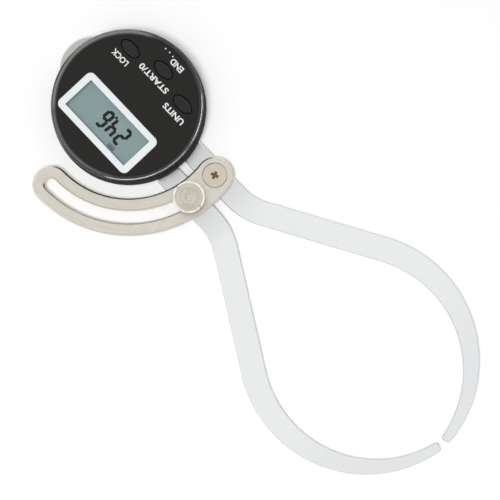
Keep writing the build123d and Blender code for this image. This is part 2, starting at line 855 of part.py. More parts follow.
with BuildPart() as battery_cover:
    with BuildSketch(at(lobe_bottom)):
        with Locations(battery_centre):
            Circle(cover_radius)
    extrude(amount=cover_top - lobe_bottom)
    with BuildSketch(at(cover_top - cover_lug_height)):
        with Locations(battery_centre):
            Rectangle(2 * cover_lug_radius, cover_lug_width)
            Circle(cover_lug_radius, mode=Mode.INTERSECT)
    extrude(amount=cover_lug_height)
    with BuildSketch(at(lobe_bottom)):
        with Locations(battery_centre):
            SlotOverall(coin_slot_length, coin_slot_width)
    extrude(amount=coin_slot_depth, mode=Mode.SUBTRACT)
    with BuildSketch(at(cover_top)):
        with Locations(battery_centre):
            Circle(cover_radius - flush_gap)
            Circle(compartment_radius + fastener_gap, mode=Mode.SUBTRACT)
    extrude(amount=-seal_recess, mode=Mode.SUBTRACT)
battery_cover.part.label = "battery_cover"
export_step(battery_cover.part, "parts/battery_cover.step")

with BuildPart() as cover_seal:
    with BuildSketch(at(cover_top - seal_recess)):
        with Locations(battery_centre):
            Circle(cover_radius - fastener_gap)
            Circle(compartment_radius + fastener_gap + flush_gap, mode=Mode.SUBTRACT)
    extrude(amount=seal_thickness)
cover_seal.part.label = "cover_seal"
export_step(cover_seal.part, "parts/cover_seal.step")

# Screws that hold the fixed leg under the head and the head together
with BuildPart() as leg_screws:
    for place in leg_screw_places:
        with BuildSketch(at(flush_gap)):
            with Locations(place):
                Circle(leg_screw_sink_radius - fastener_gap)
        extrude(amount=leg_screw_sink_radius - leg_screw_radius, taper=45)
    with BuildSketch(at(1)):
        with Locations(leg_screw_places):
            Circle(leg_screw_radius)
    extrude(amount=leg_screw_length - 1)
    with BuildSketch(at(flush_gap)):
        with Locations(leg_screw_places):
            Rectangle(small_cross_length, small_cross_width)
            Rectangle(small_cross_width, small_cross_length)
    extrude(amount=small_cross_depth, mode=Mode.SUBTRACT)
leg_screws.part.label = "leg_screws"
export_step(leg_screws.part, "parts/leg_screws.step")

with BuildPart() as housing_screws:
    with BuildSketch(at(housing_bottom + fastener_gap)):
        with Locations(housing_screw_places):
            Circle(screw_head_sink_radius - fastener_gap)
    extrude(amount=screw_head_sink - fastener_gap)
    with BuildSketch(at(housing_bottom + screw_head_sink)):
        with Locations(housing_screw_places):
            Circle(housing_screw_radius)
    extrude(amount=housing_screw_length)
    with BuildSketch(at(housing_bottom + fastener_gap)):
        with Locations(housing_screw_places):
            Rectangle(small_cross_length, small_cross_width)
            Rectangle(small_cross_width, small_cross_length)
    extrude(amount=small_cross_depth, mode=Mode.SUBTRACT)
housing_screws.part.label = "housing_screws"
export_step(housing_screws.part, "parts/housing_screws.step")

# Pivot: bush in the housing, shaft keyed in the moving leg's hub
with BuildPart() as pivot_bush:
    with BuildSketch(at(leg_thickness + running_gap)):
        Circle(bush_radius)
    extrude(amount=bush_top - leg_thickness - running_gap)
    with BuildSketch(at(leg_thickness + running_gap)):
        Circle(bush_flange_radius)
    extrude(amount=bush_flange_top - leg_thickness - running_gap)
    with BuildSketch(at(leg_thickness)):
        Circle(shaft_radius + running_gap)
    extrude(amount=bush_top, mode=Mode.SUBTRACT)
pivot_bush.part.label = "pivot_bush"
export_step(pivot_bush.part, "parts/pivot_bush.step")

with BuildPart() as pivot_shaft:
    with BuildSketch(at(leg_thickness)):
        Circle(shaft_radius)
    extrude(amount=shaft_step - leg_thickness)
    with BuildSketch(at(shaft_step)):
        Circle(rotor_seat_radius)
    extrude(amount=shaft_top - shaft_step)
    with BuildSketch(at(key_bottom)):
        Circle(key_radius)
        Rectangle(key_width, 2 * key_radius, mode=Mode.INTERSECT)
    extrude(amount=leg_thickness - key_bottom)
    with BuildSketch(at(clip_bottom - clip_play)):
        Circle(shaft_radius + cut_margin)
        Circle(clip_groove_radius, mode=Mode.SUBTRACT)
    extrude(amount=clip_thickness + 2 * clip_play, mode=Mode.SUBTRACT)
    with BuildSketch(at(key_bottom)):
        Circle(pivot_screw_radius)
    extrude(amount=pivot_screw_length + fastener_gap - key_bottom + screw_neck, mode=Mode.SUBTRACT)
    with BuildSketch(at(shaft_top)):
        Circle(rotor_screw_radius)
    extrude(amount=-rotor_screw_length - fastener_gap, mode=Mode.SUBTRACT)
pivot_shaft.part.label = "pivot_shaft"
export_step(pivot_shaft.part, "parts/pivot_shaft.step")

with BuildPart() as pivot_screw:
    with BuildSketch(at(0)):
        Circle(pivot_sink_radius - flush_gap)
    extrude(amount=pivot_sink_depth - fastener_gap, taper=pivot_sink_taper)
    with BuildSketch(at(0)):
        with PolarLocations(spanner_hole_offset, 2):
            Circle(spanner_hole_radius)
    extrude(amount=spanner_hole_depth, mode=Mode.SUBTRACT)
    with BuildSketch(at(screw_neck)):
        Circle(pivot_screw_radius)
    extrude(amount=pivot_screw_length)
pivot_screw.part.label = "pivot_screw"
export_step(pivot_screw.part, "parts/pivot_screw.step")

with BuildPart() as wave_washer:
    with BuildSketch(at(bush_top + flush_gap)):
        Circle(wave_washer_radius)
        Circle(shaft_radius + fastener_gap, mode=Mode.SUBTRACT)
    extrude(amount=clip_bottom - bush_top - flush_gap)
wave_washer.part.label = "wave_washer"
export_step(wave_washer.part, "parts/wave_washer.step")

with BuildPart() as retaining_clip:
    with BuildSketch(at(clip_bottom)):
        Circle(clip_radius)
        Circle(clip_groove_radius, mode=Mode.SUBTRACT)
        with Locations((0, -shaft_radius)):
            Rectangle(clip_opening, 2 * shaft_radius, mode=Mode.SUBTRACT)
    extrude(amount=clip_thickness)
retaining_clip.part.label = "retaining_clip"
export_step(retaining_clip.part, "parts/retaining_clip.step")

# Encoder rotor on the end of the shaft
with BuildPart() as rotor_hub:
    with BuildSketch(at(shaft_step)):
        Circle(rotor_hub_radius)
        Circle(rotor_seat_radius, mode=Mode.SUBTRACT)
    extrude(amount=rotor_bottom - shaft_step)
rotor_hub.part.label = "rotor_hub"
export_step(rotor_hub.part, "parts/rotor_hub.step")

with BuildPart() as rotor_disc:
    with BuildSketch(at(rotor_bottom)):
        Circle(rotor_radius)
        Circle(rotor_seat_radius, mode=Mode.SUBTRACT)
    extrude(amount=rotor_top - rotor_bottom)
rotor_disc.part.label = "rotor_disc"
export_step(rotor_disc.part, "parts/rotor_disc.step")

with BuildPart() as rotor_screw:
    with BuildSketch(at(rotor_top)):
        Circle(rotor_screw_head_radius)
    extrude(amount=rotor_screw_head_height)
    with BuildSketch(at(rotor_top - rotor_screw_length)):
        Circle(rotor_screw_radius)
    extrude(amount=rotor_screw_length)
rotor_screw.part.label = "rotor_screw"
export_step(rotor_screw.part, "parts/rotor_screw.step")
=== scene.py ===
"""Dresses the digital outside caliper gauge: finishes, reading, legends, studio and camera.

Everything is in metres in the frame of the CAD model: +Z points out of the display, the legs run along -Y,
the pivot axis of the legs is X = Y = 0, and the flat backs of the legs lie at Z = 0.
"""

import json
import logging
import math
from dataclasses import dataclass
from enum import Enum

import bmesh
import bpy
from mathutils import Matrix, Vector


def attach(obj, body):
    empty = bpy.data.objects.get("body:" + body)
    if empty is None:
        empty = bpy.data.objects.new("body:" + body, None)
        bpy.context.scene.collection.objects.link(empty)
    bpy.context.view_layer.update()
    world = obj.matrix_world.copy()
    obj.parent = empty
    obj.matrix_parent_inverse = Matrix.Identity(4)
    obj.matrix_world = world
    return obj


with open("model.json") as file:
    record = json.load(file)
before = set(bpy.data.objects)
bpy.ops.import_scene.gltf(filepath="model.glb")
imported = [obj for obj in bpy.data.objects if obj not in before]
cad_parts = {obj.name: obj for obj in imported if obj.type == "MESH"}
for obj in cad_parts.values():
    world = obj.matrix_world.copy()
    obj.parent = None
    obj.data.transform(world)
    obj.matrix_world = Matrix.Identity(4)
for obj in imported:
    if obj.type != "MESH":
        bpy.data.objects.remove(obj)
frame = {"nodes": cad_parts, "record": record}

LOG = logging.getLogger("gauge")
MM = 0.001
Colour = tuple[float, float, float]
Place = tuple[float, float, float]
Point = tuple[float, float]


class Grain(Enum):
    """The way the fine marks of a finish run."""

    EVEN = "even"
    ROUND = "round"


class Axis(Enum):
    """The ways that a zone can run: along a frame axis, or out from the pivot axis."""

    X = (1.0, 0.0, 0.0)
    Y = (0.0, 1.0, 0.0)
    Z = (0.0, 0.0, 1.0)
    OUTWARD = (0.0, 0.0, 0.0)


class Body(Enum):
    """The body of the gauge that the new pieces ride on."""

    HEAD = "head"


def new_object(name: str, data: bpy.types.ID) -> bpy.types.Object:
    """Makes an object of some data and puts it in the scene.

    Args:
        name: The object's name.
        data: Its mesh, curve, lamp or camera.

    Returns:
        The object.
    """
    made = bpy.data.objects.new(name, data)
    bpy.context.scene.collection.objects.link(made)
    return made


def mesh_object(name: str, mesh: bmesh.types.BMesh) -> bpy.types.Object:
    """Writes a bmesh to a new object in the scene.

    Args:
        name: The object's name.
        mesh: The finished bmesh, which is freed.

    Returns:
        The object.
    """
    data = bpy.data.meshes.new(name)
    mesh.to_mesh(data)
    mesh.free()
    return new_object(name, data)


def text_place(middle: Point, level: float) -> Matrix:
    """Returns the matrix of a line of text that runs along +Y, with its top towards -X."""
    return Matrix.Translation((*middle, level)) @ Matrix.Rotation(math.radians(90), 4, "Z")


class NodeSheet:
    """A node tree with short ways to add and join its nodes."""

    MIX_SOCKETS = {"FLOAT": (2, 3, 0), "VECTOR": (4, 5, 1), "RGBA": (6, 7, 2)}

    def __init__(self, tree: bpy.types.NodeTree) -> None:
        """Keeps the node tree of a material, world or group that the nodes go into."""
        self.tree = tree

    def add(self, kind: str, **settings: object) -> bpy.types.Node:
        """Adds a node and sets its properties.

        Args:
            kind: The node's type name, without its ShaderNode prefix.
            **settings: Properties of the node, by name.

        Returns:
            The new node.
        """
        node = self.tree.nodes.new("ShaderNode" + kind)
        for name, value in settings.items():
            setattr(node, name, value)
        return node

    def put(self, value: object, socket: bpy.types.NodeSocket) -> None:
        """Links a socket to an input, or sets the input to a plain value.

        Args:
            value: An output socket, a number, a vector or a colour without alpha.
            socket: The input that takes it.
        """
        if isinstance(value, bpy.types.NodeSocket):
            self.tree.links.new(value, socket)
        elif socket.type == "RGBA":
            socket.default_value = (*value, 1.0)
        else:
            socket.default_value = value

    def feed(self, node: bpy.types.Node, *values: object) -> bpy.types.Node:
        """Fills a node's first inputs in order.

        Args:
            node: The node whose inputs are filled.
            *values: What each input takes.

        Returns:
            The same node.
        """
        for socket, value in zip(node.inputs, values):
            self.put(value, socket)
        return node

    def fill(self, node: bpy.types.Node, values: dict[str, object]) -> bpy.types.Node:
        """Fills a node's inputs by their names.

        Args:
            node: The node whose inputs are filled.
            values: What each named input takes.

        Returns:
            The same node.
        """
        for name, value in values.items():
            self.put(value, node.inputs[name])
        return node

    def given(self) -> bpy.types.bpy_prop_collection:
        """Adds the group's input node and returns its sockets."""
        return self.tree.nodes.new("NodeGroupInput").outputs

    def give(self, *values: object) -> None:
        """Adds the group's output node and feeds it."""
        self.feed(self.tree.nodes.new("NodeGroupOutput"), *values)

    def maths(self, operation: str, *values: object) -> bpy.types.NodeSocket:
        """Adds a Math node and returns its output."""
        return self.feed(self.add("Math", operation=operation), *values).outputs[0]

    def vector_maths(self, operation: str, *values: object) -> bpy.types.bpy_prop_collection:
        """Adds a Vector Math node and returns its outputs, Vector and Value."""
        return self.feed(self.add("VectorMath", operation=operation), *values).outputs

    def remap(self, *values: object, **settings: object) -> bpy.types.NodeSocket:
        """Adds a Map Range node, fed with a value, its two ends and their results, and returns its output."""
        return self.feed(self.add("MapRange", **settings), *values).outputs[0]

    def split(self, vector: bpy.types.NodeSocket) -> bpy.types.bpy_prop_collection:
        """Adds a Separate XYZ node and returns the vector's three parts."""
        return self.feed(self.add("SeparateXYZ"), vector).outputs

    def combine(self, *parts: object) -> bpy.types.NodeSocket:
        """Adds a Combine XYZ node and returns its vector."""
        return self.feed(self.add("CombineXYZ"), *parts).outputs[0]

    def mix(self, data_type: str, factor: object, low: object, high: object,
            way: str = "MIX") -> bpy.types.NodeSocket:
        """Mixes two values by a factor.

        Args:
            data_type: FLOAT, VECTOR or RGBA.
            factor: What drives the mix.
            low: The value at 0.
            high: The value at 1.
            way: The mix node's blend type.

        Returns:
            The mixed value's socket.
        """
        node = self.add("Mix", data_type=data_type, blend_type=way)
        first, second, result = self.MIX_SOCKETS[data_type]
        for index, value in ((0, factor), (first, low), (second, high)):
            self.put(value, node.inputs[index])
        return node.outputs[result]

    def noise(self, vector: bpy.types.NodeSocket, scale: object, detail: float = 2.0,
              roughness: float = 0.5) -> bpy.types.NodeSocket:
        """Adds a noise texture that is read at a vector, and returns its value."""
        values = {"Vector": vector, "Scale": scale, "Detail": detail, "Roughness": roughness}
        return self.fill(self.add("TexNoise"), values).outputs["Fac"]


class Effects:
    """The shader node groups that several finishes share, built once each."""

    GRAIN_ROUGHNESS = 0.55
    WINDING = 0.02
    FINE_DETAIL, FINE_SHARE = 4.0, 0.65
    BROAD_SCALE, BROAD_SHARE = 0.23, 0.35
    TONE_RANGE = (0.32, 0.68)
    PATCH_DETAIL, PATCH_RANGE = 3.0, (0.35, 0.7)
    SPECK_DETAIL, SPECK_RANGE = 1.0, (0.68, 0.76)
    RISE_RANGE, FALL_RANGE = (0.15, 0.45), (0.93, 0.985)
    WEAR_RANGE, LEAST_WEAR = (0.3, 0.6), 0.45
    RAGGED_SCALE, RAGGED_DEPTH = 700.0, 0.3 * MM

    def __init__(self) -> None:
        """Builds the groups."""
        self.grain = self._grain()
        self.handling = self._handling()
        self.edges = self._edges()
        self.zone = self._zone()

    def _group(self, name: str, vectors: tuple[str, ...], numbers: tuple[str, ...],
               outputs: tuple[str, ...]) -> NodeSheet:
        """Makes an empty group with its sockets.

        Args:
            name: The group's name.
            vectors: Names of the inputs that are vectors.
            numbers: Names of the inputs that are numbers.
            outputs: Names of the outputs, which are all numbers.

        Returns:
            A sheet on the group's node tree.
        """
        tree = bpy.data.node_groups.new(name, "ShaderNodeTree")
        for label in vectors:
            tree.interface.new_socket(label, in_out="INPUT", socket_type="NodeSocketVector")
        for label in numbers:
            tree.interface.new_socket(label, in_out="INPUT", socket_type="NodeSocketFloat")
        for label in outputs:
            tree.interface.new_socket(label, in_out="OUTPUT", socket_type="NodeSocketFloat")
        return NodeSheet(tree)

    def _grain(self) -> bpy.types.NodeTree:
        """Builds the brush marks: noise, even or wound about a centre, and drawn out along the marks.

        Returns:
            The group, with Tone and Height from 0 to 1.
        """
        sheet = self._group("brush_marks", ("Centre",), ("Wound", "Across", "Along"), ("Tone", "Height"))
        given = sheet.given()
        place = sheet.add("TexCoord").outputs["Object"]
        centred = sheet.vector_maths("SUBTRACT", place, given["Centre"])["Vector"]
        x, y, z = sheet.split(centred)
        squares = sheet.maths("ADD", sheet.maths("MULTIPLY", x, x), sheet.maths("MULTIPLY", y, y))
        reach = sheet.maths("SQRT", squares)
        sweep = sheet.maths("MULTIPLY", sheet.maths("ARCTAN2", y, x), self.WINDING)
        chosen = sheet.mix("VECTOR", given["Wound"], centred, sheet.combine(reach, sweep, z))
        stretch = sheet.combine(given["Across"], given["Along"], given["Across"])
        drawn = sheet.vector_maths("MULTIPLY", chosen, stretch)["Vector"]
        fine = sheet.noise(drawn, 1.0, self.FINE_DETAIL, self.GRAIN_ROUGHNESS)
        broad = sheet.noise(drawn, self.BROAD_SCALE, roughness=self.GRAIN_ROUGHNESS)
        tone = sheet.maths("ADD", sheet.maths("MULTIPLY", fine, self.FINE_SHARE),
                           sheet.maths("MULTIPLY", broad, self.BROAD_SHARE))
        sheet.give(sheet.remap(tone, *self.TONE_RANGE, 0.0, 1.0), fine)
        return sheet.tree

    def _handling(self) -> bpy.types.NodeTree:
        """Builds the marks of use: broad greasy patches and sparse fine specks.

        Returns:
            The group, with Patches and Specks from 0 to 1.
        """
        sheet = self._group("handling_marks", (), ("Patch Scale", "Speck Scale"), ("Patches", "Specks"))
        given = sheet.given()
        place = sheet.add("TexCoord").outputs["Object"]
        patches = sheet.noise(place, given["Patch Scale"], self.PATCH_DETAIL)
        specks = sheet.noise(place, given["Speck Scale"], self.SPECK_DETAIL)
        sheet.give(sheet.remap(patches, *self.PATCH_RANGE, 0.0, 1.0),
                   sheet.remap(specks, *self.SPECK_RANGE, 0.0, 1.0))
        return sheet.tree

    def _edges(self) -> bpy.types.NodeTree:
        """Builds the mask of chamfers and small bevels, which face neither straight up, down nor sideways.
        The finishes lighten them, for wear and as a painted highlight.

        Returns:
            The group, with Edge from 0 to 1.
        """
        sheet = self._group("wear_and_highlight_edges", (), ("Breakup",), ("Edge",))
        given = sheet.given()
        coordinates = sheet.add("TexCoord").outputs
        up = sheet.maths("ABSOLUTE", sheet.split(coordinates["Normal"])[2])
        band = sheet.maths("MULTIPLY", sheet.remap(up, *self.RISE_RANGE, 0.0, 1.0),
                           sheet.remap(up, *self.FALL_RANGE, 1.0, 0.0))
        patchy = sheet.noise(coordinates["Object"], given["Breakup"])
        sheet.give(sheet.maths("MULTIPLY", band, sheet.remap(patchy, *self.WEAR_RANGE, self.LEAST_WEAR, 1.0)))
        return sheet.tree

    def _zone(self) -> bpy.types.NodeTree:
        """Builds the mask of a zone that sets in between two places along a direction, with a ragged edge.

        Returns:
            The group, with Zone from its rest value to 1.
        """
        sheet = self._group("tinted_zone", ("Direction",), ("Outward", "Start", "Full", "Rest"), ("Zone",))
        given = sheet.given()
        place = sheet.add("TexCoord").outputs["Object"]
        straight = sheet.vector_maths("DOT_PRODUCT", place, given["Direction"])["Value"]
        flat = sheet.vector_maths("MULTIPLY", place, (1.0, 1.0, 0.0))["Vector"]
        reach = sheet.vector_maths("LENGTH", flat)["Value"]
        along = sheet.maths("MULTIPLY_ADD", reach, given["Outward"], straight)
        noise = sheet.noise(place, self.RAGGED_SCALE, roughness=self.GRAIN_ROUGHNESS)
        ragged = sheet.maths("MULTIPLY_ADD", noise, self.RAGGED_DEPTH, -self.RAGGED_DEPTH / 2)
        sheet.give(sheet.remap(sheet.maths("ADD", along, ragged), given["Start"], given["Full"],
                               given["Rest"], 1.0, interpolation_type="SMOOTHSTEP"))
        return sheet.tree


@dataclass(frozen=True)
class Zone:
    """A soft-edged stretch of a piece along one axis, such as a recess with painted shade or a polished
    crest.
    """

    axis: Axis
    start: float
    full: float
    tint: Colour = (1.0, 1.0, 1.0)
    rest: float = 0.0

    def mask(self, sheet: NodeSheet, effects: Effects) -> bpy.types.NodeSocket:
        """Places the zone's mask on a material's sheet.

        Args:
            sheet: The material's node sheet.
            effects: The shared node groups.

        Returns:
            The socket that is at rest before the zone and rises to 1 within it.
        """
        placed = sheet.fill(sheet.add("Group", node_tree=effects.zone), {
            "Direction": self.axis.value, "Outward": float(self.axis is Axis.OUTWARD),
            "Start": self.start, "Full": self.full, "Rest": self.rest})
        return placed.outputs["Zone"]


@dataclass(frozen=True)
class Finish:
    """One surface finish: its colours, gloss and the fine marks on it.

    The scales of the marks are equal along and across them where only one is given.
    """

    name: str
    dark: Colour
    light: Colour
    metallic: float = 0.0
    roughness: float = 0.5
    roughness_spread: float = 0.1
    grain: Grain = Grain.EVEN
    grain_centre: Point = (0.0, 0.0)
    across: float = 5000.0
    along: float | None = None
    relief: float = 0.004 * MM
    edge_colour: Colour | None = None
    edge_strength: float = 0.0
    speck_colour: Colour | None = None
    specular: float = 0.5
    zones: tuple[Zone, ...] = ()
    coated: tuple[Zone, Zone] | None = None

    EDGE_BREAKUP, EDGE_ROUGHNESS = 400.0, 0.14
    PATCH_SCALE, SPECK_SCALE = 60.0, 2600.0
    BUMP_STRENGTH = 0.6
    COAT_ROUGHNESS = 0.10

    def material(self, effects: Effects) -> bpy.types.Material:
        """Builds the finish as a material with procedural nodes.

        Args:
            effects: The shared node groups.

        Returns:
            The material.
        """
        made = bpy.data.materials.new(self.name)
        made.use_nodes = True
        made.diffuse_color = (*self.light, 1.0)
        sheet = NodeSheet(made.node_tree)
        marks = sheet.fill(sheet.add("Group", node_tree=effects.grain), {
            "Centre": (*self.grain_centre, 0.0), "Wound": float(self.grain is Grain.ROUND),
            "Across": self.across, "Along": self.along or self.across}).outputs
        handling = sheet.fill(sheet.add("Group", node_tree=effects.handling), {
            "Patch Scale": self.PATCH_SCALE, "Speck Scale": self.SPECK_SCALE}).outputs
        colour = sheet.mix("RGBA", marks["Tone"], self.dark, self.light)
        uneven = sheet.maths("MULTIPLY", sheet.maths("ADD", marks["Tone"], handling["Patches"]), 0.5)
        low = self.roughness - self.roughness_spread / 2
        rough = sheet.remap(uneven, 0.0, 1.0, low, low + self.roughness_spread)
        # Chamfers take the lighter edge colour, for wear and as a painted highlight, and a lower roughness.
        if self.edge_colour:
            edges = sheet.fill(sheet.add("Group", node_tree=effects.edges), {"Breakup": self.EDGE_BREAKUP})
            wear_and_highlight = sheet.maths("MULTIPLY", edges.outputs["Edge"], self.edge_strength)
            colour = sheet.mix("RGBA", wear_and_highlight, colour, self.edge_colour)
            rough = sheet.mix("FLOAT", wear_and_highlight, rough, self.EDGE_ROUGHNESS)
        for zone in self.zones:
            colour = sheet.mix("RGBA", zone.mask(sheet, effects), colour, zone.tint, "MULTIPLY")
        if self.speck_colour:
            colour = sheet.mix("RGBA", handling["Specks"], colour, self.speck_colour)
        bump = sheet.fill(sheet.add("Bump"), {
            "Strength": self.BUMP_STRENGTH, "Distance": self.relief, "Height": marks["Height"]})
        shader = sheet.fill(made.node_tree.nodes["Principled BSDF"], {
            "Base Color": colour, "Roughness": rough, "Normal": bump.outputs["Normal"],
            "Metallic": self.metallic, "Specular IOR Level": self.specular})
        if self.coated:
            coat = sheet.maths("MULTIPLY", *(zone.mask(sheet, effects) for zone in self.coated))
            sheet.fill(shader, {"Coat Weight": coat, "Coat Roughness": self.COAT_ROUGHNESS})
        return made


@dataclass(frozen=True)
class ClearFinish:
    """The clear window over the display: see-through, with a faint gloss."""

    name: str
    colour: Colour
    alpha: float
    roughness: float

    SMEAR_SCALE = 90.0

    def material(self, effects: Effects) -> bpy.types.Material:
        """Builds the clear finish with faint smears in its gloss.

        Args:
            effects: The shared node groups.

        Returns:
            The material.
        """
        made = bpy.data.materials.new(self.name)
        made.use_nodes = True
        sheet = NodeSheet(made.node_tree)
        handling = sheet.fill(sheet.add("Group", node_tree=effects.handling), {
            "Patch Scale": self.SMEAR_SCALE}).outputs
        smear = sheet.remap(handling["Patches"], 0.0, 1.0, self.roughness, self.roughness * 2)
        sheet.fill(made.node_tree.nodes["Principled BSDF"], {
            "Base Color": self.colour, "Roughness": smear, "Alpha": self.alpha})
        return made


class Palette:
    """Every finish of the gauge. The record's slots say which CAD node wears which."""

    STUD: Point = (-6.95 * MM, -41.52 * MM)
    SCREW: Point = (6.15 * MM, -41.65 * MM)
    CELL: Point = (0.0, 20.6 * MM)

    def __init__(self, effects: Effects) -> None:
        """Builds the materials.

        Args:
            effects: The shared node groups.
        """
        finishes = (*self._legs_and_plate(), *self._fasteners(), *self._alloys(), *self._blacks(),
                    *self._display(), *self._inner_pieces())
        self.materials = {finish.name: finish.material(effects) for finish in finishes}

    def _legs_and_plate(self) -> tuple[Finish, ...]:
        """Sets the legs' ground steel, with painted shade near the head and on its sides and backs, a little
        darker towards the tips, and the plate's warm nickel.

        Returns:
            The two finishes.
        """
        # Painted shade: the legs grow darker towards the head, which shades them.
        head_shade = Zone(Axis.Y, -66.0 * MM, -46.0 * MM, (0.83, 0.83, 0.82))
        tips = Zone(Axis.Y, -125.0 * MM, -165.0 * MM, (0.94, 0.94, 0.945))
        # Painted shade: the flanks and the backs below them are darker, drawing dark lines along the legs'
        # edges.
        flank_shade = Zone(Axis.Z, 2.88 * MM, 2.60 * MM, (0.78, 0.79, 0.785))
        return (
            Finish("leg_steel", (0.815, 0.83, 0.835), (0.865, 0.88, 0.885), 1.0, 0.32, 0.08, across=5200.0,
                   relief=0.002 * MM, edge_colour=(0.88, 0.89, 0.90), edge_strength=0.7,
                   zones=(head_shade, tips, flank_shade)),
            Finish("plate_nickel", (0.595, 0.565, 0.50), (0.78, 0.745, 0.672), 1.0, 0.36, 0.14, Grain.ROUND,
                   across=6500.0, along=900.0, relief=0.005 * MM, edge_colour=(0.80, 0.765, 0.68),
                   edge_strength=0.8),
        )

    def _fasteners(self) -> tuple[Finish, ...]:
        """Sets the plate's screw with painted shade in its recess, the lock knob and the inner fasteners.

        Returns:
            The four finishes.
        """
        # Painted shade: below the head's top, in the cross recess and on the head's side in its counterbore,
        # the nickel turns dark brown.
        recess_shade = Zone(Axis.Z, 4.86 * MM, 4.62 * MM, (0.26, 0.21, 0.16))
        return (
            Finish("screw_nickel", (0.58, 0.51, 0.43), (0.74, 0.66, 0.56), 1.0, 0.34, 0.12, Grain.ROUND,
                   self.SCREW, across=5200.0, along=120.0, edge_colour=(0.90, 0.85, 0.75), edge_strength=0.6,
                   zones=(recess_shade,)),
            Finish("knob_nickel", (0.46, 0.435, 0.375), (0.745, 0.70, 0.61), 1.0, 0.30, 0.16, Grain.ROUND,
                   self.STUD, across=2100.0, along=40.0, edge_colour=(0.97, 0.93, 0.84), edge_strength=1.0),
            Finish("fastener_steel", (0.50, 0.51, 0.52), (0.68, 0.69, 0.70), 1.0, 0.30, 0.12, across=3500.0,
                   edge_colour=(0.85, 0.85, 0.85), edge_strength=0.5),
            Finish("spring_steel", (0.04, 0.04, 0.045), (0.09, 0.09, 0.10), 0.8, 0.45),
        )

    def _alloys(self) -> tuple[Finish, ...]:
        """Sets the blasted housing and the turned cover and rotor.

        Returns:
            The three finishes.
        """
        return (
            Finish("housing_alloy", (0.49, 0.485, 0.465), (0.58, 0.575, 0.555), 0.45, 0.42, 0.08,
                   across=4200.0, relief=0.012 * MM, edge_colour=(0.90, 0.90, 0.88), edge_strength=0.7),
            Finish("cover_alloy", (0.40, 0.40, 0.395), (0.56, 0.56, 0.55), 0.9, 0.36, 0.10, Grain.ROUND,
                   self.CELL, across=4200.0, along=90.0, edge_colour=(0.80, 0.80, 0.79), edge_strength=0.7),
            Finish("rotor_alloy", (0.50, 0.50, 0.50), (0.66, 0.66, 0.66), 1.0, 0.35, 0.1, Grain.ROUND,
                   along=80.0),
        )

    def _blacks(self) -> tuple[Finish, ...]:
        """Sets the shell, whose coat lies on its crest, the matt face and the buttons.

        Returns:
            The three finishes.
        """
        crest = (Zone(Axis.Z, 13.2 * MM, 13.6 * MM, rest=0.1),
                 Zone(Axis.OUTWARD, 27.2 * MM, 27.9 * MM, rest=0.3))
        return (
            Finish("shell_black", (0.008, 0.008, 0.0075), (0.012, 0.012, 0.011), 0.0, 0.40, 0.08,
                   across=1500.0, relief=0.001 * MM, speck_colour=(0.04, 0.04, 0.04), specular=0.0,
                   coated=crest),
            Finish("face_black", (0.0120, 0.0116, 0.0109), (0.0180, 0.0174, 0.0164), 0.0, 0.50, 0.1,
                   across=7000.0, relief=0.010 * MM, specular=0.16),
            Finish("button_black", (0.0115, 0.0115, 0.0113), (0.0170, 0.0170, 0.0165), 0.0, 0.40, 0.1,
                   across=6000.0, relief=0.008 * MM, edge_colour=(0.030, 0.030, 0.029), edge_strength=0.5,
                   specular=0.22),
        )

    def _display(self) -> tuple[Finish | ClearFinish, ...]:
        """Sets the white frame, the clear window, the panel in the frame's shadow, and the inks.

        Returns:
            The six finishes.
        """
        shadows = (Zone(Axis.X, -15.9 * MM, -17.1 * MM, (0.55, 0.57, 0.57)),
                   Zone(Axis.Y, 15.2 * MM, 16.6 * MM, (0.60, 0.62, 0.62)))
        return (
            Finish("frame_white", (0.76, 0.79, 0.805), (0.81, 0.835, 0.85), 0.0, 0.38, 0.08, across=2500.0,
                   relief=0.003 * MM),
            ClearFinish("window_clear", (0.25, 0.29, 0.29), 0.03, 0.06),
            Finish("lcd_grey", (0.230, 0.316, 0.311), (0.256, 0.346, 0.342), 0.0, 0.30, 0.1, across=9000.0,
                   relief=0.001 * MM, specular=0.2, zones=shadows),
            Finish("segment_ink", (0.001, 0.002, 0.003), (0.002, 0.003, 0.004), 0.0, 0.6, specular=0.1),
            Finish("faded_ink", (0.03, 0.05, 0.05), (0.06, 0.085, 0.085), 0.0, 0.6, specular=0.1),
            Finish("legend_ink", (0.74, 0.74, 0.73), (0.84, 0.84, 0.83), 0.0, 0.5, relief=0.002 * MM),
        )

    def _inner_pieces(self) -> tuple[Finish, ...]:
        """Sets the seals, the electronics, the cell with its contacts and the bush.

        Returns:
            The seven finishes.
        """
        return (
            Finish("seal_rubber", (0.012, 0.012, 0.012), (0.022, 0.022, 0.022), 0.0, 0.75, relief=0.01 * MM),
            Finish("board_green", (0.012, 0.085, 0.035), (0.02, 0.13, 0.055), 0.0, 0.3),
            Finish("resin_black", (0.006, 0.006, 0.006), (0.012, 0.012, 0.012), 0.0, 0.2),
            Finish("switch_metal", (0.45, 0.45, 0.45), (0.62, 0.62, 0.62), 1.0, 0.35),
            Finish("cell_steel", (0.58, 0.58, 0.57), (0.74, 0.74, 0.73), 1.0, 0.25, 0.1, Grain.ROUND,
                   self.CELL, along=80.0),
            Finish("contact_nickel", (0.60, 0.57, 0.48), (0.74, 0.70, 0.60), 1.0, 0.25),
            Finish("bush_brass", (0.52, 0.37, 0.14), (0.70, 0.53, 0.24), 1.0, 0.3, 0.1, Grain.ROUND,
                   along=80.0),
        )

    def dress_nodes(self) -> None:
        """Gives each CAD node the material that its slot in the record names."""
        for entry in frame["record"]["subparts"]:
            node = frame["nodes"][entry["node"]]
            node.data.materials.clear()
            node.data.materials.append(self.materials[entry["material_slot"]])
            LOG.info("dressed %s in %s", entry["node"], entry["material_slot"])


